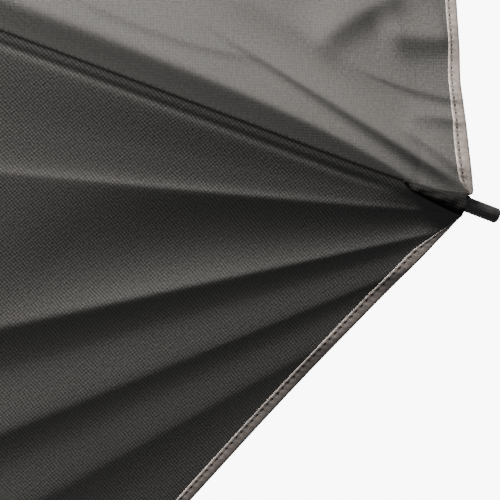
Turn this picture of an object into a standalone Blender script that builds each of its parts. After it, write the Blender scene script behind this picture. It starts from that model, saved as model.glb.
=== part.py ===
"""An umbrella reflector, standing open: a shaft with a crown, eight curved ribs, a sliding runner with
eight stretchers, and a cloth canopy of eight gores that is black behind and silver in front.

Metres, +Z up. The shaft lies along Y with the canopy's hollow facing -Y, and the origin is on the
shaft's axis where a lamp bracket grips it. Everything is modelled about the shaft as a local Z axis
whose zero is the crown's pivot plane and whose positive end is the canopy's back, and one empty lays
that axis along +Y.
"""

import math

import bmesh
import bpy
from mathutils import Matrix, Vector

# Driving dimensions
RIBS = 8
RIB_PITCH = 2 * math.pi / RIBS
FIRST_RIB = math.radians(157.5)  # the lower right rib as seen from behind
CLAMP_TO_CROWN = 0.620
GAP = 0.0003  # between pieces that touch

SHAFT_RADIUS = 0.004
SHAFT_BORE = 0.0032
SHAFT_BACK = 0.026
SHAFT_FRONT = -0.750

PIVOT_RADIUS = 0.010  # of the hinge circles on the crown and on the runner
SLOT_BOTTOM = 0.0073
SLOT_WIDTH = 0.0026
BLADE = 0.0020  # thickness of what turns in a slot
HUB_RADIUS = 0.013
BORE_RADIUS = 0.00435
WIRE_RADIUS = 0.0006
WIRE_ROOM = 0.0009

RIB_BEND = 1.210  # radius that the rods take when the cloth is tight
RIB_START_SLOPE = math.radians(9)
RIB_RADIUS = 0.0019
RIB_SOCKET_BORE = 0.0023
ROD_START = 0.0135  # distances along a rib are from its pivot on the crown
ROD_END = 0.572
TIP_START = 0.539
TIP_END = 0.5762
TIP_RADIUS = 0.003
BRACKET_AT = 0.245
BRACKET_DROP = 0.007  # from the rod's centre to the stretcher's pivot
RIVET_RADIUS = 0.0010

CLOTH = 0.0006
CLOTH_LIFT = 0.0037  # from a rod's centre to the cloth's inner face
CLOTH_START = -0.0046
CLOTH_END = 0.562
CLOTH_SCALLOP = 0.007  # how far the rim is drawn in between two tips
CLOTH_SAG = 0.002
CROWN_BACK = 0.0055

BLACK_NYLON = ("black_nylon", "17171A", 0.45, 0.0)
BLACK_ENAMEL = ("black_enamel", "1B1B1D", 0.35, 0.0)
BRIGHT_STEEL = ("bright_steel", "B8B8B6", 0.28, 1.0)
GLASS_FIBRE = ("glass_fibre", "202022", 0.4, 0.0)
CLOTH_BLACK = ("reflector_cloth", "3A3A3A", 0.55, 0.0)


def clear_scene():
    for thing in list(bpy.data.objects):
        bpy.data.objects.remove(thing)


def linear(channel):
    return channel / 12.92 if channel <= 0.04045 else ((channel + 0.055) / 1.055) ** 2.4


def material(name, colour, roughness, metallic):
    """The named Principled BSDF, made on its first use."""
    found = bpy.data.materials.get(name)
    if found:
        return found
    made = bpy.data.materials.new(name)
    made.use_nodes = True
    shader = made.node_tree.nodes["Principled BSDF"]
    rgb = [linear(int(colour[i : i + 2], 16) / 255) for i in (0, 2, 4)]
    shader.inputs["Base Color"].default_value = (*rgb, 1)
    shader.inputs["Roughness"].default_value = roughness
    shader.inputs["Metallic"].default_value = metallic
    return made


def empty(name, parent=None, location=(0, 0, 0), turn=0.0):
    made = bpy.data.objects.new(name, None)
    bpy.context.scene.collection.objects.link(made)
    made.parent = parent
    made.location = location
    made.rotation_euler.z = turn
    return made


def place(name, mesh, finish, parent, location=(0, 0, 0), turn=0.0):
    """One node: the mesh under its parent, at a place and a turn about the local Z axis."""
    made = bpy.data.objects.new(name, mesh)
    bpy.context.scene.collection.objects.link(made)
    made.parent = parent
    made.location = location
    made.rotation_euler.z = turn
    if not mesh.materials:
        mesh.materials.append(material(*finish))
    return made


def finished(bm, smooth=True):
    """The bmesh as a mesh, with its faces pointing out."""
    bmesh.ops.remove_doubles(bm, verts=bm.verts, dist=1e-7)
    bmesh.ops.recalc_face_normals(bm, faces=bm.faces)
    mesh = bpy.data.meshes.new("piece")
    bm.to_mesh(mesh)
    bm.free()
    if smooth:
        mesh.shade_smooth()
        mesh.set_sharp_from_angle(angle=math.radians(35))
    return mesh


def lathe(profile, sides=32, start=0.0):
    """A closed outline of (radius, z) points, turned about Z."""
    bm = bmesh.new()
    corners = [bm.verts.new((r * math.cos(start), r * math.sin(start), z)) for r, z in profile]
    edges = [bm.edges.new(pair) for pair in zip(corners, corners[1:] + corners[:1])]
    bmesh.ops.spin(
        bm, geom=corners + edges, cent=(0, 0, 0), axis=(0, 0, 1), angle=2 * math.pi, steps=sides,
        use_merge=True,
    )
    return finished(bm)


def solid_lathe(profile, sides=24):
    """An outline that starts and ends on the axis, turned about Z. Its ends close at the axis."""
    bm = bmesh.new()
    corners = [bm.verts.new((r, 0, z)) for r, z in profile]
    edges = [bm.edges.new(pair) for pair in zip(corners, corners[1:])]
    bmesh.ops.spin(
        bm, geom=corners + edges, cent=(0, 0, 0), axis=(0, 0, 1), angle=2 * math.pi, steps=sides,
        use_merge=True,
    )
    return finished(bm)


def block(low, high):
    """A box between two corners."""
    bm = bmesh.new()
    size = Vector(high) - Vector(low)
    middle = (Vector(high) + Vector(low)) / 2
    bmesh.ops.create_cube(bm, size=1, matrix=Matrix.Translation(middle) @ Matrix.Diagonal((*size, 1)))
    return finished(bm, smooth=False)


def rod(start, end, radius, sides=16):
    """A straight round bar between two points."""
    bm = bmesh.new()
    start, end = Vector(start), Vector(end)
    along = end - start
    turn = along.to_track_quat("Z", "Y").to_matrix().to_4x4()
    bmesh.ops.create_cone(
        bm, cap_ends=True, segments=sides, radius1=radius, radius2=radius, depth=along.length,
        matrix=Matrix.Translation((start + end) / 2) @ turn,
    )
    return finished(bm)


def plate(outline, thickness):
    """An outline of (x, z) points, given its thickness evenly about the plane y = 0."""
    bm = bmesh.new()
    face = bm.faces.new([bm.verts.new((x, -thickness / 2, z)) for x, z in outline])
    sides = bmesh.ops.extrude_face_region(bm, geom=[face])["geom"]
    bmesh.ops.translate(
        bm, verts=[v for v in sides if isinstance(v, bmesh.types.BMVert)], vec=(0, thickness, 0)
    )
    return finished(bm, smooth=False)


def lug(eye, end, half, thickness, middle=0.0):
    """A flat bar between two (x, z) points, rounded about the first, its thickness about y = middle."""
    eye, end = Vector(eye), Vector(end)
    along = (end - eye).normalized()
    side = Vector((-along.y, along.x))
    steps = 8
    round_end = [eye - half * (along * math.sin(a) + side * math.cos(a)) for a in
                 (math.pi * i / steps for i in range(steps + 1))]
    outline = round_end + [end + half * side, end - half * side]
    return moved(plate([tuple(p) for p in outline], thickness), Matrix.Translation((0, middle, 0)))


def combined(base, *steps):
    """The base mesh after each ("UNION" or "DIFFERENCE", mesh) step."""
    holder = bpy.data.objects.new("holder", base)
    bpy.context.scene.collection.objects.link(holder)
    helpers = [holder]
    for operation, mesh in steps:
        helper = bpy.data.objects.new("helper", mesh)
        bpy.context.scene.collection.objects.link(helper)
        cut = holder.modifiers.new(operation, "BOOLEAN")
        cut.operation = operation
        cut.solver = "EXACT"
        cut.object = helper
        helpers.append(helper)
    graph = bpy.context.evaluated_depsgraph_get()
    made = bpy.data.meshes.new_from_object(holder.evaluated_get(graph))
    for helper in helpers:
        bpy.data.objects.remove(helper)
    made.shade_smooth()
    made.set_sharp_from_angle(angle=math.radians(35))
    return made


def moved(mesh, matrix):
    mesh.transform(matrix)
    return mesh


def wire_ring(sides=32):
    """The ring of wire that the hinge eyes turn on."""
    bm = bmesh.new()
    section = bmesh.ops.create_circle(
        bm, segments=6, radius=WIRE_RADIUS,
        matrix=Matrix.Translation((PIVOT_RADIUS, 0, 0)) @ Matrix.Rotation(math.pi / 2, 4, "X"),
    )["verts"]
    edges = list(bm.edges)
    bmesh.ops.spin(
        bm, geom=section + edges, cent=(0, 0, 0), axis=(0, 0, 1), angle=2 * math.pi, steps=sides,
        use_merge=True,
    )
    return finished(bm)


def slotted(hub, low, high):
    """The hub with a slot for each rib or stretcher, between two heights."""
    cuts = []
    for k in range(RIBS):
        slot = block((SLOT_BOTTOM, -SLOT_WIDTH / 2, low), (HUB_RADIUS + 0.002, SLOT_WIDTH / 2, high))
        cuts.append(("DIFFERENCE", moved(slot, Matrix.Rotation(FIRST_RIB + k * RIB_PITCH, 4, "Z"))))
    return combined(hub, *cuts)


# The line of a rib, in the plane of its own X and Z, with the pivot at zero


def slope_at(s):
    return RIB_START_SLOPE + s / RIB_BEND


def rib_point(s):
    """The rod's centre at a distance along the rib: outwards along X, and forwards along -Z."""
    x = RIB_BEND * (math.sin(slope_at(s)) - math.sin(RIB_START_SLOPE))
    z = RIB_BEND * (math.cos(slope_at(s)) - math.cos(RIB_START_SLOPE))
    return Vector((x, 0, z))


def rib_matrix(s):
    """Local X along the rib, local Z out of its back, at a distance along it."""
    return Matrix.Translation(rib_point(s)) @ Matrix.Rotation(slope_at(s), 4, "Y")


STRETCHER_PIVOT = rib_matrix(BRACKET_AT) @ Vector((0, 0, -BRACKET_DROP))
RUNNER_Z = 2 * STRETCHER_PIVOT.z  # the stretcher mirrors the rib's inner length, so they fold evenly
STRETCHER_LENGTH = STRETCHER_PIVOT.length
STRETCHER_SLOPE = math.atan2(-STRETCHER_PIVOT.z, STRETCHER_PIVOT.x)


# Pieces on the shaft


CATCH_HEEL = RUNNER_Z - 0.0640
CATCH_FACE = RUNNER_Z - 0.0432
CATCH_SLOT = (CATCH_HEEL + 0.0045, CATCH_FACE + 0.0008)
CATCH_THICKNESS = 0.0012
CATCH_SIDE = -math.pi / 2  # the tooth points up when the shaft lies level
CATCH_PIN_RADIUS = 0.0006
STOP_Z = RUNNER_Z + 0.0054
CROWN_RIVET_Z = 0.0040


def shaft_tube():
    tube = lathe(
        [
            (SHAFT_BORE, SHAFT_FRONT),
            (SHAFT_RADIUS, SHAFT_FRONT),
            (SHAFT_RADIUS, SHAFT_BACK),
            (SHAFT_BORE, SHAFT_BACK),
        ],
        sides=24,
    )
    across = SHAFT_RADIUS + 0.002
    slot = block((0, -0.00095, CATCH_SLOT[0]), (across, 0.00095, CATCH_SLOT[1]))
    turned = Matrix.Rotation(CATCH_SIDE, 4, "Z")
    catch_hole = rod(
        (0, -across, CATCH_HEEL), (0, across, CATCH_HEEL), CATCH_PIN_RADIUS + GAP, 12
    )
    stop_hole = rod((-across, 0, STOP_Z), (across, 0, STOP_Z), 0.0008 + GAP, 12)
    rivet_hole = rod((-across, 0, CROWN_RIVET_Z), (across, 0, CROWN_RIVET_Z), 0.0008 + GAP, 12)
    return combined(
        tube,
        ("DIFFERENCE", moved(slot, turned)),
        ("DIFFERENCE", moved(catch_hole, turned)),
        ("DIFFERENCE", stop_hole),
        ("DIFFERENCE", rivet_hole),
    )


def crown():
    """The fixed hub: a closed back, and slots that open outwards and forwards for the ribs."""
    hub = lathe(
        [
            (BORE_RADIUS, -0.0045),
            (0.0118, -0.0045),
            (HUB_RADIUS, -0.0033),
            (HUB_RADIUS, -WIRE_ROOM),
            (PIVOT_RADIUS - WIRE_ROOM, -WIRE_ROOM),
            (PIVOT_RADIUS - WIRE_ROOM, WIRE_ROOM),
            (HUB_RADIUS, WIRE_ROOM),
            (HUB_RADIUS, 0.0040),
            (0.0118, CROWN_BACK),
            (BORE_RADIUS, CROWN_BACK),
        ]
    )
    hole = rod((-0.02, 0, CROWN_RIVET_Z), (0.02, 0, CROWN_RIVET_Z), 0.0008 + GAP, 12)
    return combined(slotted(hub, -0.006, 0.0026), ("DIFFERENCE", hole))


def runner():
    """The sliding hub: slots that open outwards and backwards, then a sleeve with a ribbed grip."""
    outline = [
        (BORE_RADIUS, 0.0045),
        (0.0118, 0.0045),
        (HUB_RADIUS, 0.0033),
        (HUB_RADIUS, WIRE_ROOM),
        (PIVOT_RADIUS - WIRE_ROOM, WIRE_ROOM),
        (PIVOT_RADIUS - WIRE_ROOM, -WIRE_ROOM),
        (HUB_RADIUS, -WIRE_ROOM),
        (HUB_RADIUS, -0.0045),
        (0.0075, -0.0100),
    ]
    ridges, first, pitch = 5, -0.0160, 0.0040
    for n in range(ridges):
        top = first - n * pitch
        outline += [(0.0070, top), (0.0078, top - 0.0008), (0.0078, top - 0.0020), (0.0070, top - 0.0028)]
    outline += [(0.0072, -0.0370), (0.0092, -0.0400), (0.0092, -0.0420), (BORE_RADIUS, -0.0420)]
    return slotted(lathe(outline), -0.0030, 0.006)


def ferrule():
    """The cap on the shaft's back end, which holds the cloth and its washer on the crown."""
    return lathe(
        [
            (0.0100, 0.0088),
            (0.0100, 0.0105),
            (0.0062, 0.0150),
            (0.0060, 0.0290),
            (0.0045, 0.0315),
            (0.0020, 0.0322),
            (0.0009, 0.0322),
            (0.0009, 0.0275),
            (BORE_RADIUS, 0.0265),
            (BORE_RADIUS, 0.0088),
        ],
        sides=24,
    )


def canopy_washer():
    return lathe(
        [(BORE_RADIUS, 0.0071), (0.0180, 0.0071), (0.0195, 0.0075), (0.0160, 0.0083), (BORE_RADIUS, 0.0084)]
    )


def shaft_end_cap():
    """A plug for the tube's front end, with a flat face."""
    head = 0.0046
    return solid_lathe(
        [
            (0, SHAFT_FRONT + 0.012),
            (SHAFT_BORE - GAP - 0.0004, SHAFT_FRONT + 0.012),
            (SHAFT_BORE - GAP, SHAFT_FRONT + 0.011),
            (SHAFT_BORE - GAP, SHAFT_FRONT - GAP),
            (head, SHAFT_FRONT - GAP),
            (head, SHAFT_FRONT - 0.0030),
            (head - 0.0006, SHAFT_FRONT - 0.0036),
            (0, SHAFT_FRONT - 0.0036),
        ]
    )


def catch():
    """The pressed steel hook that keeps the runner up. Its heel turns on a pin inside the tube."""
    reach = CATCH_FACE - CATCH_HEEL
    hook = plate(
        [
            (0.0006, reach),
            (0.0058, reach),
            (0.0054, reach - 0.0030),
            (0.0029, reach - 0.0145),
            (0.0016, -0.0022),
            (-0.0016, -0.0022),
            (-0.0018, 0.0010),
        ],
        CATCH_THICKNESS,
    )
    eye = rod((0, -0.002, 0), (0, 0.002, 0), CATCH_PIN_RADIUS + GAP, 12)
    return combined(hook, ("DIFFERENCE", eye))


# Pieces of one rib, each about its own pivot


def rib_rod():
    """The glass-fibre rod, bent as the tight cloth bends it."""
    steps, sides = 14, 10
    bm = bmesh.new()
    rings = []
    for n in range(steps + 1):
        s = ROD_START + (ROD_END - ROD_START) * n / steps
        turns = [2 * math.pi * i / sides for i in range(sides)]
        spokes = [Vector((0, RIB_RADIUS * math.sin(a), RIB_RADIUS * math.cos(a))) for a in turns]
        rings.append([bm.verts.new(rib_matrix(s) @ spoke) for spoke in spokes])
    for ring, after in zip(rings, rings[1:]):
        for i in range(sides):
            j = (i + 1) % sides
            bm.faces.new((ring[i], ring[j], after[j], after[i]))
    bm.faces.new(rings[0])
    bm.faces.new(rings[-1])
    return finished(bm)


def rib_eye():
    """The end fitting: a flat eye for the crown's wire, and a socket for the rod."""
    middle = rib_matrix(0.0195)
    back = middle.inverted() @ Vector((0, 0, 0))
    blade = lug((back.x, back.z), (-0.0068, 0), 0.0020, BLADE)
    socket = rod((-0.0085, 0, 0), (0.0070, 0, 0), 0.0028)
    bore = rod((-0.0063, 0, 0), (0.0100, 0, 0), RIB_SOCKET_BORE)
    hole = rod((back.x, -0.003, back.z), (back.x, 0.003, back.z), WIRE_ROOM, 12)
    made = combined(blade, ("UNION", socket), ("DIFFERENCE", bore), ("DIFFERENCE", hole))
    return moved(made, middle)


def bracket():
    """The clip on the rod, with two ears and the rivet that the stretcher turns on."""
    gap, ear, half = 0.0014, 0.0010, 0.0060
    sleeve = rod((-half, 0, 0), (half, 0, 0), 0.00305)
    bore = rod((-half - 0.001, 0, 0), (half + 0.001, 0, 0), RIB_SOCKET_BORE)
    steps = []
    for side in (-1, 1):
        middle = side * (gap + ear / 2)
        steps.append(("UNION", lug((0, -BRACKET_DROP), (0, -0.0012), 0.0027, ear, middle)))
    across = gap + ear + 0.0005
    rivet = rod((0, -across, -BRACKET_DROP), (0, across, -BRACKET_DROP), RIVET_RADIUS, 12)
    made = combined(sleeve, *steps, ("DIFFERENCE", bore), ("UNION", rivet))
    return moved(made, rib_matrix(BRACKET_AT))


def stretcher():
    """A folded steel channel with a flat eye at each end. Zero is the rivet, and -X leads to the runner."""
    deep, wide, wall, bare = 0.0042, 0.0042, 0.0007, 0.0100
    far = -STRETCHER_LENGTH
    channel = block((far + bare, -wide / 2, -deep / 2), (-bare, wide / 2, deep / 2))
    trough = block((far, -wide / 2 + wall, -deep), (0, wide / 2 - wall, deep / 2 - wall))
    steps = [("DIFFERENCE", trough)]
    for centre, hole, inwards in ((0, RIVET_RADIUS + GAP, -1), (far, WIRE_ROOM, 1)):
        end = centre + inwards * (bare + 0.008)
        steps += [
            ("UNION", lug((centre, 0), (end, 0), 0.0019, BLADE)),
            ("DIFFERENCE", rod((centre, -0.004, 0), (centre, 0.004, 0), hole, 12)),
        ]
    return moved(combined(channel, *steps), Matrix.Rotation(-STRETCHER_SLOPE, 4, "Y"))


def tip_cap():
    """The moulded cap on the rod's outer end, open towards the rod."""
    length = TIP_END - TIP_START
    made = lathe(
        [
            (RIB_SOCKET_BORE, 0),
            (TIP_RADIUS - 0.0002, 0),
            (TIP_RADIUS, 0.0006),
            (TIP_RADIUS, length - 0.0006),
            (TIP_RADIUS - 0.0006, length),
            (0.0004, length),
            (0.0004, length - 0.0015),
            (RIB_SOCKET_BORE, length - 0.0022),
        ],
        sides=16,
    )
    along = rib_matrix((TIP_START + TIP_END) / 2)
    lay = Matrix.Translation((-length / 2, 0, 0)) @ Matrix.Rotation(math.pi / 2, 4, "Y")
    return moved(made, along @ lay)


def ridge_point(s):
    """The cloth's inner face over the rod, which climbs over the crown's back near the shaft."""
    over_rod = rib_matrix(s) @ Vector((0, 0, CLOTH_LIFT))
    share = min(1, max(0, (s - 0.006) / 0.020))
    share = share * share * (3 - 2 * share)
    over_crown = Vector((s, 0, CROWN_BACK + GAP))
    return over_crown.lerp(over_rod, share)


def cloth_point(along, across):
    """A point on a gore's inner face: along from shaft to rim, across from -1 to 1 about its rib."""
    aside = abs(across)
    end = CLOTH_END - CLOTH_SCALLOP * aside * (2 - aside)
    s = CLOTH_START + (end - CLOTH_START) * along
    ridge = ridge_point(s)
    out = PIVOT_RADIUS + ridge.x
    sag = CLOTH_SAG * math.sin(math.pi * along) * aside * (2 - aside)
    x = out * (1 - aside / 2 * (1 - math.cos(RIB_PITCH))) - PIVOT_RADIUS
    y = out * across / 2 * math.sin(RIB_PITCH)
    if aside == 1:
        y -= math.copysign(GAP, across)
    return Vector((x, y, ridge.z - sag))


def gore():
    """The cloth that one rib carries, from the middle of one panel to the middle of the next."""
    rows = [0, 0.0187, 0.035, 0.06, 0.12, 0.24, 0.36, 0.48, 0.60, 0.72, 0.84, 0.93, 1]
    columns = [-1, -0.66, -0.33, 0, 0.33, 0.66, 1]
    bm = bmesh.new()
    faces = []
    for lift in (0, CLOTH):
        up = Vector((0, 0, lift))
        faces.append([[bm.verts.new(cloth_point(a, t) + up) for t in columns] for a in rows])
    for sheet in faces:
        for low, high in zip(sheet, sheet[1:]):
            for i in range(len(columns) - 1):
                bm.faces.new((low[i], low[i + 1], high[i + 1], high[i]))
    inner, outer = faces
    rims = [
        [(inner[0][i], outer[0][i]) for i in range(len(columns))],
        [(inner[-1][i], outer[-1][i]) for i in range(len(columns))],
        [(inner[n][0], outer[n][0]) for n in range(len(rows))],
        [(inner[n][-1], outer[n][-1]) for n in range(len(rows))],
    ]
    for rim in rims:
        for (a, b), (c, d) in zip(rim, rim[1:]):
            bm.faces.new((a, b, d, c))
    return finished(bm)


def build():
    clear_scene()
    axis = empty("umbrella_axis", location=(0, CLAMP_TO_CROWN, 0))
    axis.rotation_euler.x = -math.pi / 2

    place("shaft_tube", shaft_tube(), BRIGHT_STEEL, axis)
    place("crown", crown(), BLACK_NYLON, axis)
    place("crown_wire", wire_ring(), BRIGHT_STEEL, axis)
    rivet = rod((-0.0075, 0, CROWN_RIVET_Z), (0.0075, 0, CROWN_RIVET_Z), 0.0008, 12)
    place("crown_rivet", rivet, BRIGHT_STEEL, axis)
    place("ferrule", ferrule(), BLACK_NYLON, axis)
    place("canopy_washer", canopy_washer(), BLACK_NYLON, axis)
    place("shaft_end_cap", shaft_end_cap(), BLACK_NYLON, axis)
    stop = rod((-0.0052, 0, STOP_Z), (0.0052, 0, STOP_Z), 0.0008, 12)
    place("runner_stop_pin", stop, BRIGHT_STEEL, axis)

    catch_axis = empty("catch_axis", axis, (0, 0, CATCH_HEEL), CATCH_SIDE)
    pin_half = SHAFT_RADIUS + 0.0003
    pin = rod((0, -pin_half, 0), (0, pin_half, 0), CATCH_PIN_RADIUS, 12)
    place("catch_pin", pin, BRIGHT_STEEL, catch_axis)
    place("catch", catch(), BRIGHT_STEEL, catch_axis)

    slider = empty("runner_axis", axis, (0, 0, RUNNER_Z))
    place("runner", runner(), BLACK_NYLON, slider)
    place("runner_wire", wire_ring(), BRIGHT_STEEL, slider)

    pieces = {
        "rib_rod": (rib_rod(), GLASS_FIBRE),
        "rib_eye": (rib_eye(), BRIGHT_STEEL),
        "bracket": (bracket(), BLACK_NYLON),
        "tip_cap": (tip_cap(), BLACK_NYLON),
        "gore": (gore(), CLOTH_BLACK),
    }
    strut = stretcher()
    for k in range(RIBS):
        turn = FIRST_RIB + k * RIB_PITCH
        pivot = (PIVOT_RADIUS * math.cos(turn), PIVOT_RADIUS * math.sin(turn), 0)
        hinge = empty(f"rib_hinge_{k + 1}", axis, pivot, turn)
        for name, (mesh, finish) in pieces.items():
            place(f"{name}_{k + 1}", mesh, finish, hinge)
        strut_hinge = empty(f"stretcher_hinge_{k + 1}", hinge, STRETCHER_PIVOT)
        place(f"stretcher_{k + 1}", strut, BLACK_ENAMEL, strut_hinge)


build()
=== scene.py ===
import math

import bmesh
import bpy
import numpy as np
from mathutils import Matrix, Vector


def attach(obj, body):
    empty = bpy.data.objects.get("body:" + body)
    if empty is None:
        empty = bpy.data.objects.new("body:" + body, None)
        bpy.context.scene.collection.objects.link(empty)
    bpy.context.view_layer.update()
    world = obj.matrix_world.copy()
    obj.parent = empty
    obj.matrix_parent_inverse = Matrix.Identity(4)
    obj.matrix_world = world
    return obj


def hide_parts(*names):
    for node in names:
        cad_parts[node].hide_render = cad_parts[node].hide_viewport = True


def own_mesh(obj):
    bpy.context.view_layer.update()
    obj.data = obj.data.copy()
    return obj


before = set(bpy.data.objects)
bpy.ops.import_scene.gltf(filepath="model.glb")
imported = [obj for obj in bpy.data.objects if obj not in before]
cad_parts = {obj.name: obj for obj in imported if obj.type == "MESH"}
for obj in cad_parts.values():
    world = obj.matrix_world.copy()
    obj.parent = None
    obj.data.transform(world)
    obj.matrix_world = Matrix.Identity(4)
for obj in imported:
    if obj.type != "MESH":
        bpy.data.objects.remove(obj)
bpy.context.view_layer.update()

bl_info = {
    "name": "Umbrella reflector",
    "version": (1, 0, 0),
    "blender": (4, 5, 0),
    "location": "View3D > Sidebar > Umbrella",
    "description": "The cloth, hem, stitching and finishes of a studio umbrella reflector",
    "category": "Object",
}

# The frame's sizes, and the cloth's that follow from them, in metres. Distances along a rib are from its
# hinge on the crown.
RIBS = 8
PITCH = 2 * math.pi / RIBS
FIRST_RIB = math.radians(157.5)
CROWN_Y = 0.620
PIVOT_RADIUS = 0.010
RIB_BEND = 1.210
RIB_START_SLOPE = math.radians(9)
CLOTH_LIFT = 0.0043
CLOTH_START = -0.0046
CLOTH_END = 0.562
RIM_END = 0.564
CLOTH_SCALLOP = 0.007
CLOTH_SAG = 0.002
CROWN_BACK = 0.0064
STITCH_LINE = 0.0032  # from the rim to the middle of the hem's stitches
CLOTH_THICKNESS = 0.00035
TAPE_THICKNESS = 0.0012  # of the flap, where it is folded over itself
CRISP = math.radians(60)  # an edge that turns more than this stays sharp
FLOOR_Z = -1.9

# How the cloth is drawn in around one tip, in mm: back from the tip, and aside from the rod, positive on the
# side that the sewn seam leans to.
# Below the rod, taut lines fan out from the tip, each given as its distance aside at the tip and its gain
# per mm back from it. The cloth hangs in a trough between each two, of this depth as a share of its width,
# with a flatter floor the higher the next number, and its lowest line nearer the rod the higher the last.
TAUT_LINES = [(-1.0, 0.0), (-4.0, -0.30), (-12.0, -0.822), (-29.5, -1.36), (-57.0, -2.0), (-118.0, -3.4)]
TROUGHS = [(0.024, 12.0, 0.0), (0.050, 1.9, 0.0), (0.034, 1.5, 0.6), (0.022, 1.7, 0.7), (0.015, 1.8, 0.6)]
# Above it, separate folds: near end, far end, then the width of the steep flank, the width of the easy flank
# and the height, each as a pair for the two ends.
FOLDS = [
    ((2, 6.0), (108, 27.5), (5.2, 1.6), (18, 16), (3.0, 0.35)),
    ((92, 23.5), (170, 21.5), (2.5, 3.0), (12, 12), (0.35, 0.35)),
    ((40, 32), (112, 46), (7, 10), (14, 20), (0.8, 1.2)),
    ((28, 68), (66, 36), (7, 7), (12, 14), (2.2, 1.8)),
    ((6, 59), (36, 51), (6, 9), (10, 12), (1.5, 2.4)),
    ((2, 37.5), (46, 34), (3.0, 1.6), (9, 12), (0.8, 0.4)),
    ((3, 29.5), (26, 24), (3.0, 4.0), (5, 6), (0.9, 0.5)),
    ((2, 10.6), (30, 18.5), (3.0, 3.0), (6, 8), (1.1, 0.6)),
    ((10, 88), (60, 72), (9, 14), (13, 18), (1.0, 1.6)),
]


class UmbrellaLooks(bpy.types.PropertyGroup):
    """The sizes and colours that a user may change"""

    cloth_colour: bpy.props.StringProperty(
        name="Cloth", description="The outer face's colour, as sRGB hex", default="3A3A39"
    )
    silver_colour: bpy.props.StringProperty(
        name="Silver", description="The reflecting face's colour, as sRGB hex", default="D8D7D4"
    )
    hem_colour: bpy.props.StringProperty(
        name="Hem", description="The turned hem's colour, as sRGB hex", default="6A6461"
    )
    weave_pitch: bpy.props.FloatProperty(
        name="Weave pitch", description="Spacing of the ribs that show in the weave", default=0.00115,
        unit="LENGTH",
    )
    hem_width: bpy.props.FloatProperty(
        name="Hem width", description="Width of the turned hem", default=0.0045, unit="LENGTH"
    )
    stitch_pitch: bpy.props.FloatProperty(
        name="Stitch pitch", description="Spacing of the hem's stitches", default=0.0030, unit="LENGTH"
    )
    fold_strength: bpy.props.FloatProperty(
        name="Folds", description="Height of the cloth's folds, where 1 is as worn", default=1.0
    )


def looks():
    return bpy.context.scene.umbrella_looks


# Materials. A noise's scale is in features per metre.

SMOOTHLY = {"interpolation_type": "SMOOTHSTEP"}
TIMES = {"operation": "MULTIPLY"}
PLUS = {"operation": "ADD"}
LESS = {"operation": "SUBTRACT"}
COLOURS = {"data_type": "RGBA"}


def colour(code):
    """An sRGB hex colour as linear RGBA."""
    values = [int(code[i : i + 2], 16) / 255 for i in (0, 2, 4)]
    return (*[v / 12.92 if v <= 0.04045 else ((v + 0.055) / 1.055) ** 2.4 for v in values], 1)


def wire(tree, made, **settings):
    """Give a node its own settings and its inputs. An input goes by its name, with _ for each space, or by
    _ and its number, and takes a value, a socket, or a node for that node's first output."""
    for key, value in settings.items():
        if hasattr(made, key):
            setattr(made, key, value)
            continue
        socket = made.inputs[int(key[1:]) if key[0] == "_" else key.replace("_", " ")]
        if isinstance(value, bpy.types.Node):
            value = value.outputs[0]
        if isinstance(value, bpy.types.NodeSocket):
            tree.links.new(value, socket)
        else:
            socket.default_value = value
    return made


def node(tree, kind, **settings):
    """Add one node, with its settings and links."""
    return wire(tree, tree.nodes.new("ShaderNode" + kind), **settings)


def finish(name, build, *values):
    """The material with that name, which build makes on its first use."""
    made = bpy.data.materials.get(name)
    if made is None:
        made = bpy.data.materials.new(name)
        made.use_nodes = True
        build(made.node_tree, made.node_tree.nodes["Principled BSDF"], *values)
    return made


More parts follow.
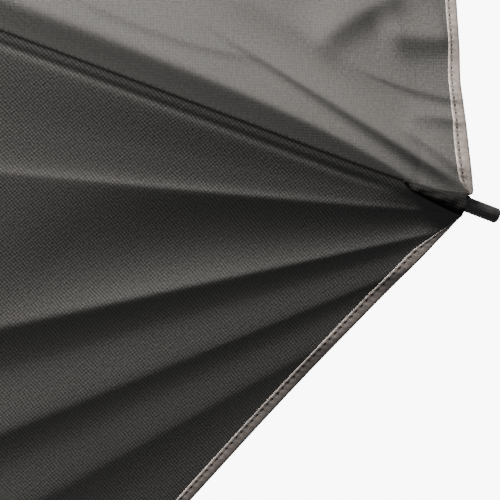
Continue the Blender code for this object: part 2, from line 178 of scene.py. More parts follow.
def coated_taffeta(tree, shader, cross, depth, gloss):
    """Black nylon taffeta with a polyurethane coat. Plain-woven filament yarn: nearly black, with a soft
    satin sheen along the yarns and faint ribs. cross is how strongly the second set of yarns shows, depth
    how deep the ribs are, and gloss how much of the coat's shine is left. The yarns are 0.25 mm apart, too
    fine to show, so the ribs are drawn at the coarser weave_pitch."""
    place = node(tree, "UVMap", uv_map="weave")
    split = node(tree, "SeparateXYZ", Vector=place)
    # the yarns wander by up to 2 mm over 17 mm
    wander = node(tree, "TexNoise", Scale=60.0, Detail=2.0, Vector=place)
    drift = node(tree, "Math", **TIMES, _0=wander, _1=0.0020)
    waves = []
    for axis in ("X", "Y"):
        moved = node(tree, "Math", **PLUS, _0=split.outputs[axis], _1=drift)
        turns = node(tree, "Math", **TIMES, _0=moved, _1=2 * math.pi / looks().weave_pitch)
        waves.append(node(tree, "Math", operation="SINE", _0=turns))
    weft = node(tree, "Math", **TIMES, _0=waves[1], _1=cross)
    weave = node(tree, "Math", **PLUS, _0=waves[0], _1=weft)
    slub = node(tree, "TexNoise", Scale=900.0, Detail=1.0, Vector=place)  # thick places 1.1 mm long
    patch = node(tree, "TexNoise", Scale=14.0, Detail=3.0, Vector=place)  # the dye's shade drifts over 70 mm
    share = node(tree, "Math", **TIMES, _0=weave, _1=0.03 + 0.5 * depth)
    share = node(tree, "Math", **PLUS, _0=share, _1=slub)
    share = node(tree, "Math", **PLUS, _0=share, _1=node(tree, "Math", **TIMES, _0=patch, _1=0.3))
    light = node(tree, "MapRange", **SMOOTHLY, Value=share, From_Min=-0.1, From_Max=1.4)
    cloth = node(tree, "Mix", **COLOURS, Factor=light, _6=colour("1F1F1F"), _7=colour(looks().cloth_colour))
    # painted shade: where the seam attribute says, along the seam and over the tip flap, the colour is
    # darkened towards black; the cloth is duller there too
    seam = node(tree, "Attribute", attribute_name="seam").outputs["Fac"]
    sewn = node(tree, "Mix", **COLOURS, Factor=seam, _6=cloth.outputs[2], _7=colour("0A0A0A"))
    rough = node(
        tree, "MapRange", **SMOOTHLY, Value=share, From_Min=0.2, From_Max=1.1, To_Min=0.50, To_Max=0.62
    )
    rough = node(tree, "Math", **PLUS, _0=rough, _1=node(tree, "Math", **TIMES, _0=seam, _1=0.3))
    height = node(tree, "Math", **PLUS, _0=node(tree, "Math", **TIMES, _0=weave, _1=0.5), _1=slub)
    bump = node(tree, "Bump", Strength=depth, Distance=0.00012, Height=height)
    wire(
        tree, shader, Base_Color=sewn.outputs[2], Roughness=rough, Normal=bump, Specular_IOR_Level=gloss,
        IOR=1.5, Sheen_Weight=0.04, Sheen_Roughness=0.4,
    )


def silver_coating(tree, shader):
    """The reflecting face: nylon coated with aluminium pigment. Bright and even, with a broad soft gloss
    and the weave just showing through the coat."""
    place = node(tree, "UVMap", uv_map="weave")
    cloud = node(tree, "TexNoise", Scale=30.0, Detail=4.0, Vector=place)  # the coat varies over 33 mm
    # the weave at 0.8 mm, because its 0.25 mm yarns are too fine to show
    weave = node(tree, "TexNoise", Scale=1200.0, Detail=1.0, Vector=place)
    share = node(tree, "MapRange", **SMOOTHLY, Value=cloud, From_Min=0.3, From_Max=0.7)
    coat = node(tree, "Mix", **COLOURS, Factor=share, _6=colour("D0CFCC"), _7=colour(looks().silver_colour))
    rough = node(
        tree, "MapRange", **SMOOTHLY, Value=weave, From_Min=0.3, From_Max=0.7, To_Min=0.34, To_Max=0.46
    )
    bump = node(tree, "Bump", Strength=0.25, Distance=0.0001, Height=weave)
    wire(tree, shader, Base_Color=coat.outputs[2], Roughness=rough, Normal=bump, Metallic=0.45)


def hem_binding(tree, shader):
    """The hem turns the silver face outwards: a warm matt grey, puckered by a lockstitch of grey thread
    whose dented needle holes get painted shade as small dark marks just outside the folded edge."""
    place = node(tree, "UVMap", uv_map="weave")
    split = node(tree, "SeparateXYZ", Vector=place)
    wobble = node(tree, "TexNoise", Scale=160.0, Detail=2.0, Vector=place)  # the stitching wavers every 6 mm
    thread = node(tree, "TexNoise", Scale=700.0, Detail=2.0, Vector=place)  # 1.4 mm creases
    cloud = node(tree, "TexNoise", Scale=120.0, Detail=3.0, Vector=place)  # 8 mm stains
    # how far along from the nearest needle hole, as a share of the stitch, and how far aside from their line
    stitch = node(tree, "Math", operation="DIVIDE", _0=split.outputs["X"], _1=looks().stitch_pitch)
    stitch = node(tree, "Math", operation="FRACT", _0=stitch)
    along = node(tree, "Math", operation="ABSOLUTE", _0=node(tree, "Math", **LESS, _0=stitch, _1=0.5))
    wobble = node(tree, "Math", **TIMES, _0=node(tree, "Math", **LESS, _0=wobble, _1=0.5), _1=0.0004)
    line = node(tree, "Math", **PLUS, _0=split.outputs["Y"], _1=wobble)
    aside = node(tree, "Math", operation="ABSOLUTE", _0=node(tree, "Math", **LESS, _0=line, _1=STITCH_LINE))
    fade = {"To_Min": 1.0, "To_Max": 0.0}
    near = node(tree, "MapRange", **SMOOTHLY, **fade, Value=along, From_Min=0.10, From_Max=0.20)
    inside = node(tree, "MapRange", **SMOOTHLY, **fade, Value=aside, From_Min=0.00018, From_Max=0.0005)
    needle_hole_and_painted_shade = node(tree, "Math", **TIMES, _0=near, _1=inside)
    painted_groove_shade = node(tree, "MapRange", **SMOOTHLY, **fade, Value=aside, From_Min=0.0001, From_Max=0.0009)
    worn = node(tree, "Math", **PLUS, _0=node(tree, "Math", **TIMES, _0=thread, _1=0.6), _1=cloud)
    worn = node(tree, "MapRange", **SMOOTHLY, Value=worn, From_Min=0.5, From_Max=1.05)
    face = node(tree, "Mix", **COLOURS, Factor=worn, _6=colour("544F4C"), _7=colour(looks().hem_colour))
    # painted shade: darker in the groove of the stitches, at the rim's fold, and darkest in the holes
    inwards = split.outputs["Y"]
    rim_fold_painted_shade = node(tree, "MapRange", **SMOOTHLY, Value=inwards, From_Max=0.0007, To_Min=0.3, To_Max=0.0)
    painted_shade_layers = (
        (node(tree, "Math", **TIMES, _0=painted_groove_shade, _1=0.30), "3D3936"),
        (rim_fold_painted_shade, "393532"),
        (needle_hole_and_painted_shade, "161413"),
    )
    for share, shade in painted_shade_layers:
        face = node(tree, "Mix", **COLOURS, Factor=share, _6=face.outputs[2], _7=colour(shade))
    rough = node(
        tree, "MapRange", **SMOOTHLY, Value=thread, From_Min=0.3, From_Max=0.7, To_Min=0.48, To_Max=0.62
    )
    height = node(tree, "Math", **LESS, _0=node(tree, "Math", **TIMES, _0=thread, _1=0.25), _1=needle_hole_and_painted_shade)
    bump = node(tree, "Bump", Strength=0.45, Distance=0.0003, Height=height)
    wire(tree, shader, Base_Color=face.outputs[2], Roughness=rough, Normal=bump, Metallic=0.15)


def moulded_nylon(tree, shader):
    """Injection-moulded glass-filled nylon: black, satin, with the faint grain of a spark-eroded mould."""
    place = node(tree, "TexCoord").outputs["Object"]
    grain = node(tree, "TexNoise", Scale=2600.0, Detail=3.0, Vector=place)  # 0.4 mm grain
    worn = node(tree, "TexNoise", Scale=180.0, Detail=4.0, Vector=place)  # handled in 6 mm patches
    share = node(tree, "MapRange", **SMOOTHLY, Value=worn, From_Min=0.35, From_Max=0.7)
    black = node(tree, "Mix", **COLOURS, Factor=share, _6=colour("0D0D0D"), _7=colour("151515"))
    rough = node(
        tree, "MapRange", **SMOOTHLY, Value=worn, From_Min=0.3, From_Max=0.7, To_Min=0.26, To_Max=0.38
    )
    bump = node(tree, "Bump", Strength=0.3, Distance=0.00006, Height=grain)
    wire(tree, shader, Base_Color=black.outputs[2], Roughness=rough, Normal=bump, IOR=1.53)


def baked_enamel(tree, shader):
    """Stoving enamel on pressed steel: black and glossy, with a little orange peel."""
    place = node(tree, "TexCoord").outputs["Object"]
    peel = node(tree, "TexNoise", Scale=700.0, Detail=1.0, Vector=place)  # 1.4 mm orange peel
    dust = node(tree, "TexNoise", Scale=90.0, Detail=4.0, Vector=place)  # dulled in 11 mm patches
    share = node(tree, "MapRange", **SMOOTHLY, Value=dust, From_Min=0.35, From_Max=0.7)
    black = node(tree, "Mix", **COLOURS, Factor=share, _6=colour("101011"), _7=colour("1C1C1D"))
    rough = node(
        tree, "MapRange", **SMOOTHLY, Value=dust, From_Min=0.3, From_Max=0.7, To_Min=0.18, To_Max=0.32
    )
    bump = node(tree, "Bump", Strength=0.15, Distance=0.00005, Height=peel)
    wire(tree, shader, Base_Color=black.outputs[2], Roughness=rough, Normal=bump)


def plated_steel(tree, shader):
    """Drawn steel with bright nickel plate: fine lines run along the draw, and handling dulls it in
    patches."""
    place = node(tree, "TexCoord").outputs["Object"]
    drawn = node(tree, "Mapping", Scale=(1.0, 0.02, 1.0), Vector=place)
    lines = node(tree, "TexNoise", Scale=3000.0, Detail=3.0, Vector=drawn)  # 0.3 mm apart, 17 mm long
    hand = node(tree, "TexNoise", Scale=40.0, Detail=4.0, Vector=place)  # 25 mm patches
    share = node(tree, "MapRange", **SMOOTHLY, Value=hand, From_Min=0.35, From_Max=0.7)
    metal = node(tree, "Mix", **COLOURS, Factor=share, _6=colour("B9B7B2"), _7=colour("D2D0CB"))
    fine = node(tree, "Math", **TIMES, _0=lines, _1=0.12)
    rough = node(tree, "Math", **PLUS, _0=fine, _1=node(tree, "Math", **TIMES, _0=hand, _1=0.2))
    rough = node(
        tree, "MapRange", **SMOOTHLY, Value=rough, From_Min=0.08, From_Max=0.26, To_Min=0.14, To_Max=0.34
    )
    bump = node(tree, "Bump", Strength=0.1, Distance=0.00003, Height=lines)
    wire(tree, shader, Base_Color=metal.outputs[2], Roughness=rough, Normal=bump, Metallic=1.0)


def glass_fibre(tree, shader):
    """Pultruded glass-fibre rod in black resin: satin, with the fibres showing as faint streaks."""
    place = node(tree, "TexCoord").outputs["Object"]
    streak = node(tree, "TexNoise", Scale=420.0, Detail=4.0, Vector=place)  # 2.4 mm
    share = node(tree, "MapRange", **SMOOTHLY, Value=streak, From_Min=0.4, From_Max=0.75)
    resin = node(tree, "Mix", **COLOURS, Factor=share, _6=colour("151516"), _7=colour("2A2A2B"))
    rough = node(
        tree, "MapRange", **SMOOTHLY, Value=streak, From_Min=0.3, From_Max=0.7, To_Min=0.30, To_Max=0.45
    )
    bump = node(tree, "Bump", Strength=0.2, Distance=0.00004, Height=streak)
    wire(tree, shader, Base_Color=resin.outputs[2], Roughness=rough, Normal=bump)


def sewing_thread(tree, shader):
    """Bonded polyester thread: black, with the twist of its plies."""
    place = node(tree, "TexCoord").outputs["Object"]
    plies = node(tree, "TexWave", Scale=900.0, Distortion=2.0, Vector=place).outputs["Fac"]
    black = node(tree, "Mix", **COLOURS, Factor=plies, _6=colour("0C0C0C"), _7=colour("1D1C1B"))
    bump = node(tree, "Bump", Strength=0.4, Distance=0.00005, Height=plies)
    wire(tree, shader, Base_Color=black.outputs[2], Roughness=0.7, Normal=bump)


def painted_floor(tree, shader):
    """Pale matt floor paint, a little cloudy. It glows as a lit cove does."""
    place = node(tree, "TexCoord").outputs["Object"]
    cloud = node(tree, "TexNoise", Scale=6.0, Detail=3.0, Vector=place)  # 170 mm
    paint = node(tree, "Mix", **COLOURS, Factor=cloud, _6=colour("E2E1DF"), _7=colour("E8E7E5"))
    wire(tree, shader, Base_Color=paint.outputs[2], Roughness=0.7)
    wire(tree, shader, Emission_Color=(1, 1, 1, 1), Emission_Strength=1.1)


# The cloth's shape, in the plane of its rib: x outwards, y aside, z out of the back


def smooth(v):
    v = np.clip(v, 0, 1)
    return v * v * (3 - 2 * v)


def slope_at(s):
    return RIB_START_SLOPE + s / RIB_BEND


def over_rod(s):
    """The cloth's outer face over the rod, as (x, z)."""
    slope = slope_at(s)
    x = RIB_BEND * (np.sin(slope) - math.sin(RIB_START_SLOPE)) + CLOTH_LIFT * np.sin(slope)
    z = RIB_BEND * (np.cos(slope) - math.cos(RIB_START_SLOPE)) + CLOTH_LIFT * np.cos(slope)
    share = smooth((s - 0.006) / 0.020)
    return s + (x - s) * share, CROWN_BACK + (z - CROWN_BACK) * share


def rim_at(t):
    """How far along the rib the rim is, where t goes aside from -1 to 1. It is notched for the tip cap."""
    notch = 0.0044 * np.exp(-((t / 0.0185) ** 4))
    nip = 0.0009 * np.exp(-(((t - 0.235) / 0.05) ** 2))
    return RIM_END - notch - nip - CLOTH_SCALLOP * (1 - (1 - np.abs(t)) ** 3)


def soft_ramp(x, width):
    return width * np.logaddexp(0, x / width)


def tent(x, below, above, crest, foot):
    """A fold's height across it: 1 at its crest, and nothing beyond the feet of its two flanks."""
    return (
        soft_ramp(x + below, foot) / below
        - soft_ramp(x, crest) * (1 / below + 1 / above)
        + soft_ramp(x - above, above * 0.25) / above
    )


def seam_line(a):
    """How far aside the sewn seam is at a mm back from the tip."""
    return -1.0 + 4.8 * np.exp(-np.maximum(a, 0) / 15)


def below_rod(a, w, k):
    """The troughs between the taut lines, in mm, on the side where w is negative."""
    back = np.maximum(a, 0.5)
    total = np.zeros_like(a)
    for n, (depth, flat, lean) in enumerate(TROUGHS):
        (c0, m0), (c1, m1) = TAUT_LINES[n], TAUT_LINES[n + 1]
        start, end = c0 + m0 * back, c1 + m1 * back
        u = (w - start) / (end - start)
        u = np.where((u > 0) & (u < 1), u * (1 + lean * (1 - u)), u)
        width = np.abs(end - start) / math.hypot(1, (m0 + m1) / 2)
        across = 1 - (np.sqrt((2 * u - 1) ** 2 + 0.002)) ** flat
        if n == 0:  # the strip next to the rod is level, and turns up only along the first taut line
            across = smooth(u / 0.6) * (1 - np.clip(u, 0, 1) ** flat)
        rounded = (np.sqrt(np.maximum(across, 0) ** 2 + 0.010) - 0.100) * (np.abs(2 * u - 1) < 1)
        vary = 1 + 0.3 * math.sin(2.1 * k * (n + 1))
        lasts = 1 - (0.72 if n == 1 else 0.3) * smooth((a - 72) / (75 if n == 1 else 110))
        total -= depth * np.minimum(width, 60) * rounded * vary * lasts
    return total * smooth((330 - a) / 210)


def above_rod(a, w, k):
    """The crest that the pull on the seam raises, and the folds beyond it, in mm, where w is positive."""
    total = np.zeros_like(a)
    for n, (near, far, below, above, height) in enumerate(FOLDS):
        (a0, w0), (a1, w1) = near, far
        length = math.hypot(a1 - a0, w1 - w0)
        ca, cw = (a1 - a0) / length, (w1 - w0) / length
        sa, sw = (-cw, ca) if ca > 0 else (cw, -ca)
        q = ((a - a0) * ca + (w - w0) * cw) / length
        x = (a - a0) * sa + (w - w0) * sw + 0.04 * length * math.sin(n * 1.7) * 4 * q * (1 - q)
        share = np.clip(q, 0, 1)
        wide = [pair[0] + (pair[1] - pair[0]) * share for pair in (below, above, height)]
        ends = smooth((q + 0.12) / 0.3) * smooth((1.15 - q) / 0.4)
        vary = 1 + 0.3 * math.sin(1.7 * k * (n + 1))
        total += wide[2] * vary * ends * tent(x, wide[0], wide[1], 0.12 * wide[0], 0.25 * wide[0])
    crest = 10.6 * (1 - np.exp(-np.maximum(a - 22, 0) / 40))
    below = np.maximum(crest, 1.2)
    pulled = 0.43 * crest * smooth((420 - a) / 170)
    return total + pulled * tent(w - crest, below, 34 + 0.1 * a, 0.35 + 0.003 * a, 1.1)


def cloth_point(s, t, k):
    """Points of the outer face, s along the rib and t aside from -1 to 1, and how near they are to the
    seam, as the mask of the painted shade line along it."""
    soft = np.sqrt(t * t + 0.012**2)
    x, z = over_rod(s)
    out = PIVOT_RADIUS + x
    along = np.clip((s - CLOTH_START) / (rim_at(t) - CLOTH_START), 0, 1)
    sag = CLOTH_SAG * np.sin(math.pi * along) * soft * (2 - soft)
    px = out * (1 - soft / 2 * (1 - math.cos(PITCH)))
    py = out * t / 2 * math.sin(PITCH)
    # the folds of this rib's tip, and those that reach over from the next rib's
    a, w = (CLOTH_END - s) * 1000, py * 1000
    other = np.where(t > 0, 2 - t, -2 - t)
    past = -out * other / 2 * math.sin(PITCH) * 1000
    own = smooth((1.6 - np.abs(t)) / 0.5)
    reach = smooth((1.6 - np.abs(other)) / 0.5)
    upper, lower = smooth(w / 6 + 1), smooth(0.2 - w / 1.5)
    lift = above_rod(a, w, k) * upper * own + below_rod(a, w, k) * lower * own
    side = t > 0
    lift += np.where(side, below_rod(a, past, (k + 1) % RIBS), above_rod(a, past, (k - 1) % RIBS)) * reach
    lift *= smooth((s - 0.05) / 0.15) * looks().fold_strength
    # over the tip cap the cloth stands up, and it dips beside it on the open side
    dip = smooth((34 - a) / 34)
    lift -= 1.6 * dip * smooth((-w - 2.4) / 3.6) * smooth((26 + w) / 20)
    # at the seam one panel's turned edge lies over the other, and a row of stitches sinks beyond it
    seam = seam_line(a)
    past_seam = w - seam
    # painted shade: how near the seam is, which the material darkens as a shadow line along it
    painted_groove_shade = np.exp(-((past_seam / 0.55) ** 2))
    sewn = smooth((s - 0.03) / 0.05)
    step = 1 / (1 + np.exp(-np.clip(past_seam / 0.22, -40, 40)))
    lift += 0.15 * step * np.exp(-np.maximum(past_seam, 0) / 7) * sewn
    lift -= 0.30 * np.exp(-(((past_seam + 4.6) / 1.5) ** 2)) * sewn * smooth((a - 24) / 20)
    slope, turn = slope_at(s), np.arctan2(py, px)
    moved = lift / 1000
    points = np.stack(
        [
            px - PIVOT_RADIUS + moved * np.sin(slope) * np.cos(turn),
            py + moved * np.sin(slope) * np.sin(turn),
            z - sag + moved * np.cos(slope),
        ],
        -1,
    )
    return points, painted_groove_shade


def to_row(points, k):
    """Points of one rib's plane, in the row frame."""
    turn = FIRST_RIB + k * PITCH
    out, aside = points[..., 0] + PIVOT_RADIUS, points[..., 1]
    x = out * math.cos(turn) - aside * math.sin(turn)
    y = out * math.sin(turn) + aside * math.cos(turn)
    return np.stack([x, points[..., 2] + CROWN_Y, -y], -1)


def grid_mesh(name, points, closed=False):
    """A mesh of quads over a grid of points, wrapped across if closed."""
    rows, columns = points.shape[:2]
    index = np.arange(rows * columns).reshape(rows, columns)
    if closed:
        index = np.concatenate([index, index[:, :1]], 1)
    quads = np.stack([index[:-1, :-1], index[1:, :-1], index[1:, 1:], index[:-1, 1:]], -1).reshape(-1, 4)
    mesh = bpy.data.meshes.new(name)
    mesh.vertices.add(rows * columns)
    mesh.vertices.foreach_set("co", points.reshape(-1).astype(np.float32))
    mesh.loops.add(quads.size)
    mesh.loops.foreach_set("vertex_index", quads.reshape(-1).astype(np.int32))
    mesh.polygons.add(len(quads))
    mesh.polygons.foreach_set("loop_start", np.arange(0, quads.size, 4, dtype=np.int32))
    mesh.update(calc_edges=True)
    mesh.shade_smooth()
    return mesh


def lay_uv(mesh, uv, other=None, on_other=None):
    """A UV for each vertex, in metres of cloth, with another for the quads where on_other is true."""
    layer = mesh.uv_layers.new(name="weave")
    loops = np.zeros(len(mesh.loops), np.int32)
    mesh.loops.foreach_get("vertex_index", loops)
    laid = uv.reshape(-1, 2)[loops]
    if other is not None:
        laid = np.where(np.repeat(on_other, 4)[:, None], other.reshape(-1, 2)[loops], laid)
    layer.data.foreach_set("uv", laid.astype(np.float32).reshape(-1))


def upper_cloth():
    """The cloth cut with its yarns level, as in the panel above each rib."""
    return finish("black_coated_nylon_taffeta", coated_taffeta, 1.0, 0.07, 0.28)


def shown(name, mesh, *materials):
    """A new object in the scene, with its materials in order."""
    made = bpy.data.objects.new(name, mesh)
    bpy.context.scene.collection.objects.link(made)
    for material in materials:
        mesh.materials.append(material)
    return made


def goes_with_rib(piece, k):
    """The piece rides on its rib, with its own copy of its mesh."""
    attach(piece, f"rib_{k + 1}")
    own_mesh(piece)


def spaced(stops):
    """Values between stops, given as (value, number of steps to the next), ending with (value, 0)."""
    values = []
    for (low, steps), (high, _) in zip(stops, stops[1:]):
        values += list(np.linspace(low, high, steps, endpoint=False))
    return np.array(values + [stops[-1][0]])


def gore_grid(k):
    """Where a gore's rows and columns lie. The gores nearest the front corner are the finest."""
    if k == 0:
        rows = spaced([(0, 40), (0.60, 150), (0.93, 60), (1, 0)])
        columns = spaced([(-1, 44), (-0.7, 120), (-0.05, 60), (0.05, 54), (0.20, 74), (0.55, 22), (1, 0)])
    elif k == RIBS - 1:
        rows = spaced([(0, 40), (0.60, 90), (1, 0)])
        columns = spaced([(-1, 30), (-0.05, 20), (0.2, 30), (0.6, 40), (1, 0)])
    else:
        rows = spaced([(0, 30), (0.40, 70), (1, 0)])
        columns = spaced([(-1, 30), (-0.1, 14), (0.2, 34), (1, 0)])
    return np.meshgrid(rows, columns, indexing="ij")


def make_gore(k):
    """The cloth that one rib carries, from the middle of one panel to the middle of the next."""
    along, t = gore_grid(k)
    s = CLOTH_START + (rim_at(t) - CLOTH_START) * along
    points, seam = cloth_point(s, t, k)
    mesh = grid_mesh(f"gore_cloth_{k + 1}", to_row(points, k))
    lower = (t[:-1, :-1] + t[1:, 1:]).reshape(-1) < 0
    # each panel is cut with its yarns along its middle, and the lower one's show on the slant. The panels
    # slope away from the rib, so a step aside is also a step back down the cloth.
    aside, down = 1.03 * points[..., 1], s - 0.34 * np.abs(points[..., 1])
    yarns = []
    for turn in (math.radians(-19), math.radians(29)):
        across = math.sin(turn) * down + math.cos(turn) * aside
        yarns.append(np.stack([across, math.cos(turn) * down - math.sin(turn) * aside], -1))
    lay_uv(mesh, yarns[0], yarns[1], lower)
    # the seam attribute is painted shade: a dark line along the seam, 0.75 at its darkest
    painted_shade_layer = mesh.attributes.new("seam", "FLOAT", "POINT")
    painted_shade_layer.data.foreach_set("value", (seam * 0.75).reshape(-1).astype(np.float32))
    silver = finish("aluminised_nylon_coating", silver_coating)
    made = shown(
        f"gore_cloth_{k + 1}", mesh, upper_cloth(),
        finish("black_coated_nylon_taffeta_on_the_slant", coated_taffeta, 0.25, 0.48, 0.28), silver, silver,
    )
    mesh.polygons.foreach_set("material_index", lower.astype(np.int32))
    backing = made.modifiers.new("backing", "SOLIDIFY")
    backing.thickness = CLOTH_THICKNESS
    backing.offset = -1
    backing.material_offset = 2
    made.modifiers.new("crisp_rim", "EDGE_SPLIT").split_angle = CRISP
    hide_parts(f"gore_{k + 1}")
    goes_with_rib(made, k)
    return made


HEM_SECTION = [
    # inwards from the rim as a share of the hem's width, and above the cloth in mm
    (-0.05, -0.45), (-0.09, -0.10), (-0.08, 0.16), (-0.03, 0.27), (0.15, 0.31), (0.40, 0.31), (0.58, 0.28),
    (0.68, 0.24), (0.75, 0.25), (0.84, 0.29), (0.93, 0.26), (1.00, 0.13), (1.03, -0.05), (0.50, -0.55),
]


def make_hem(k):
    """The turned hem on one gore's rim, a flat tube on each side of the tip."""
    width = looks().hem_width
    step = 0.0006  # between the two points that give the cloth's own direction
    bm = bmesh.new()
    for side in (-1, 1):
        count = 420 if k == 0 else 110
        start = 0.0205 if side > 0 else 0.023
        t = side * (start + (1 - start) * np.linspace(0, 1, count) ** 1.25)
        s = rim_at(t)
        rim, _ = cloth_point(s, t, k)
        ahead, _ = cloth_point(s - step, t, k)
        inward = (ahead - rim) / step
        run = np.gradient(rim, axis=0)
        run /= np.linalg.norm(run, axis=1, keepdims=True)
        in_unit = inward / np.linalg.norm(inward, axis=1, keepdims=True)
        lean = np.sqrt(np.clip(1 - np.sum(run * in_unit, 1) ** 2, 0.3, 1))
        distance = np.concatenate([[0], np.cumsum(np.linalg.norm(np.diff(rim, axis=0), axis=1))])
        up = np.cross(run, in_unit)
        up /= np.linalg.norm(up, axis=1, keepdims=True)
        up *= np.sign(up[:, 2:3])
        # it narrows to nothing at the tip, where the cloth's edge turns in over it on the lower side
        if side > 0:
            grow = (1 - np.exp(-distance / 0.0024)) * (1 + 0.38 * np.exp(-((distance / 0.034) ** 2)))
        else:
            grow = np.clip((distance - 0.0012) / 0.0210, 0, 1)
        grow = np.maximum(grow, 0.02)
        pucker = 0.06 * np.sin(2 * math.pi * distance / looks().stitch_pitch)
        tube, uv = [], []
        for share, high in HEM_SECTION:
            reach = share * width * grow
            over, _ = cloth_point(s - np.maximum(reach, 0) / lean, t, k)
            past = np.minimum(reach, 0)[:, None] * in_unit
            rise = (high + (pucker if 0.55 < share < 0.95 else 0)) * 0.001 * (0.35 + 0.65 * grow)
            tube.append(over + past + up * np.reshape(rise, (-1, 1)))
            uv.append(np.stack([distance, np.full(count, share * width)], -1))
        mesh = grid_mesh("hem_side", to_row(np.stack(tube, 1), k), closed=True)
        lay_uv(mesh, np.stack(uv, 1))
        bm.from_mesh(mesh)
        bpy.data.meshes.remove(mesh)
    bmesh.ops.holes_fill(bm, edges=[e for e in bm.edges if e.is_boundary], sides=0)
    bmesh.ops.recalc_face_normals(bm, faces=bm.faces)
    mesh = bpy.data.meshes.new(f"hem_{k + 1}")
    bm.to_mesh(mesh)
    bm.free()
    mesh.shade_smooth()
    made = shown(f"hem_{k + 1}", mesh, finish("turned_silver_nylon_hem", hem_binding))
    goes_with_rib(made, k)
    return made


def rod_matrix(s, k):
    """A frame on the rod: x along it and z out of the back, in the row frame."""
    slope = slope_at(s)
    x = RIB_BEND * (math.sin(slope) - math.sin(RIB_START_SLOPE))
    z = RIB_BEND * (math.cos(slope) - math.cos(RIB_START_SLOPE))
    local = Matrix.Translation((PIVOT_RADIUS + x, 0, z)) @ Matrix.Rotation(slope, 4, "Y")
    lay = Matrix.Translation((0, CROWN_Y, 0)) @ Matrix.Rotation(-math.pi / 2, 4, "X")
    return lay @ Matrix.Rotation(FIRST_RIB + k * PITCH, 4, "Z") @ local


POCKET_SECTION = [
    # along from the cloth's end, and the radius, in mm
    (-26, 2.7), (-25.6, 3.3), (-20, 3.42), (-8, 3.5), (-2.4, 3.62), (-1.3, 3.7), (-1.05, 3.55), (-1.2, 3.2),
    (-5, 3.12),
]


def make_pocket(k):
    """The cloth sleeve that holds the tip cap, sewn under the corner of two panels."""
    turns = np.linspace(0, 2 * math.pi, 40, endpoint=False)
    wide = 1 + 0.06 * np.abs(np.cos(turns))
    rings = []
    for x, r in POCKET_SECTION:
        ripple = 0.10 * np.sin(3 * turns + x * 0.4) + 0.07 * np.sin(7 * turns + 1.3)
        radius = (r + (ripple if r > 3.25 else 0)) / 1000
        ring = [np.full_like(turns, x / 1000), radius * wide * np.cos(turns), radius * np.sin(turns)]
        rings.append(np.stack(ring, -1))
    points = np.stack(rings)
    matrix = np.array(rod_matrix(CLOTH_END, k))
    world = points @ matrix[:3, :3].T + matrix[:3, 3]
    mesh = grid_mesh(f"tip_pocket_{k + 1}", world, closed=True)
    lay_uv(mesh, np.stack([points[..., 0], points[..., 1]], -1))
    made = shown(f"tip_pocket_{k + 1}", mesh, upper_cloth())
    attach(made, f"rib_{k + 1}")
    return made


def make_flap(k):
    """The seam's folded end: a stiff black point of cloth sewn down over the tip cap, and cut off square."""
    rows, columns = 60, 28
    far = np.linspace(0, 1, rows)[:, None]
    u = np.linspace(0, 1, columns)[None, :]
    start = -0.1 + 2.2 * u  # its end leans back towards the seam
    a = start + (28 - start) * far
    top = seam_line(np.maximum(a, 0)) + 0.15
    low = -4.0 + 2.2 * np.clip(a / 24, 0, 1) ** 1.4
    low = low + (top - 0.3 - low) * smooth((a - 22) / 6)
    w = low + (top - low) * u
    s = CLOTH_END - a / 1000
    t = w / 1000 / ((PIVOT_RADIUS + over_rod(s)[0]) / 2 * math.sin(PITCH))
    base, _ = cloth_point(np.minimum(s, rim_at(t)), t, k)
    ahead = np.maximum(s - rim_at(t), 0)
    slope = slope_at(s)
    base[..., 0] += ahead * np.cos(slope)
    base[..., 2] -= ahead * np.sin(slope)
    creases = (0.12 * np.sin(a * 0.55 + 5 * u) + 0.07 * np.sin(a * 1.3 - 3 * u)) * np.sin(math.pi * u)
    rise = (0.42 + creases) * np.clip(u / 0.09, 0, 1) ** 0.5 * smooth((1 - u) / 0.75) * smooth((27.5 - a) / 9)
    rise = rise - 0.25 * (1 - smooth((1 - u) / 0.2)) + 0.05 - 0.9 * smooth((a - 21) / 5)
    shell = base.copy()
    shell[..., 0] += rise / 1000 * np.sin(slope)
    shell[..., 2] += rise / 1000 * np.cos(slope)
    mesh = grid_mesh(f"tip_flap_{k + 1}", to_row(shell, k))
    lay_uv(mesh, np.stack([w / 1000, a / 1000], -1))
    # painted shade: the seam attribute darkens the whole flap nearly to black, and fully along its edges as
    # shadow lines
    painted_shade_layer = mesh.attributes.new("seam", "FLOAT", "POINT")
    flap_painted_shade = np.clip(1.5 - np.minimum(u, (1 - u) * 0.7) / 0.09, 0.90, 1) * np.ones_like(a)
    painted_shade_layer.data.foreach_set("value", flap_painted_shade.reshape(-1).astype(np.float32))
    tape = finish("matt_black_cotton_tape", coated_taffeta, 0.5, 0.3, 0.04)
    made = shown(f"tip_flap_{k + 1}", mesh, tape)
    thick = made.modifiers.new("thick", "SOLIDIFY")
    thick.thickness = TAPE_THICKNESS
    thick.offset = -1
    made.modifiers.new("crisp_end", "EDGE_SPLIT").split_angle = CRISP
    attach(made, f"rib_{k + 1}")
    return made


